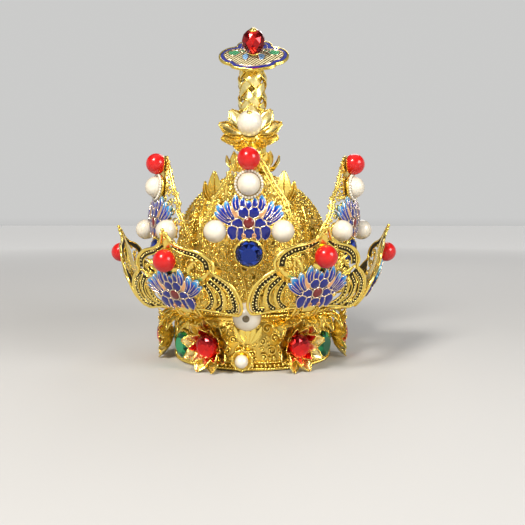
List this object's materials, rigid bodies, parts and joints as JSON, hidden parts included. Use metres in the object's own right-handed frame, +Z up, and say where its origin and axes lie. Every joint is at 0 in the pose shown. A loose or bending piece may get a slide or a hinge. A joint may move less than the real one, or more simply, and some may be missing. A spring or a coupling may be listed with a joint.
{
  "type": "costume crown",
  "caption": "Small gilt costume crown for a hair bun: open-work petals and panels with enamel, pearls and glass stones round a pierced bell, with a tall finial.",
  "frame": {"origin": "on the crown's axis at the foot of its hem band, where it rests", "axes": "+Z up along the finial, the front faces -Y, +X is to the right of someone who faces it"},
  "size_m": [0.119, 0.1056, 0.1329],
  "materials": {
    "gilt": "bright gilt, open-work and stamped",
    "antique_gilt": "gilt with dark antiqued recesses",
    "enamel": "glossy blue cloisonne enamel with pale metal lines",
    "pearl": "ivory pearl lustre",
    "coral": "polished opaque coral red",
    "crystal": "faceted red glass"
  },
  "bodies": {
    "root": {"base_band": "gilt", "dome": "gilt", "stem": "gilt", "plait": "gilt", "finial_flower": "gilt", "finial_pearl": "pearl", "cloud_plate": "enamel", "top_bead": "crystal", "hem_pearl": "pearl", "drop_pearl": "pearl", "base_flower_1": "gilt", "base_flower_2": "gilt", "base_flower_3": "gilt", "base_flower_4": "gilt", "base_flower_5": "gilt", "base_flower_6": "gilt", "base_flower_7": "gilt", "lower_petal_1": "antique_gilt", "lower_bead_1": "coral", "lower_lotus_1": "enamel", "lower_petal_2": "antique_gilt", "lower_bead_2": "coral", "lower_lotus_2": "enamel", "lower_petal_3": "antique_gilt", "lower_bead_3": "coral", "lower_lotus_3": "enamel", "lower_petal_4": "antique_gilt", "lower_bead_4": "coral", "lower_lotus_4": "enamel", "lower_petal_5": "antique_gilt", "lower_bead_5": "coral", "lower_lotus_5": "enamel", "lower_petal_6": "antique_gilt", "lower_bead_6": "coral", "lower_lotus_6": "enamel", "upper_panel_1": "gilt", "upper_bead_1": "coral", "upper_crest_pearl_1": "pearl", "upper_lotus_1": "enamel", "upper_side_pearl_1_1": "pearl", "upper_side_pearl_1_2": "pearl", "upper_panel_2": "gilt", "upper_bead_2": "coral", "upper_crest_pearl_2": "pearl", "upper_lotus_2": "enamel", "upper_side_pearl_2_1": "pearl", "upper_side_pearl_2_2": "pearl", "upper_panel_3": "gilt", "upper_bead_3": "coral", "upper_crest_pearl_3": "pearl", "upper_lotus_3": "enamel", "upper_side_pearl_3_1": "pearl", "upper_side_pearl_3_2": "pearl", "upper_panel_4": "gilt", "upper_bead_4": "coral", "upper_crest_pearl_4": "pearl", "upper_lotus_4": "enamel", "upper_side_pearl_4_1": "pearl", "upper_side_pearl_4_2": "pearl"}
  },
  "joints": []
}
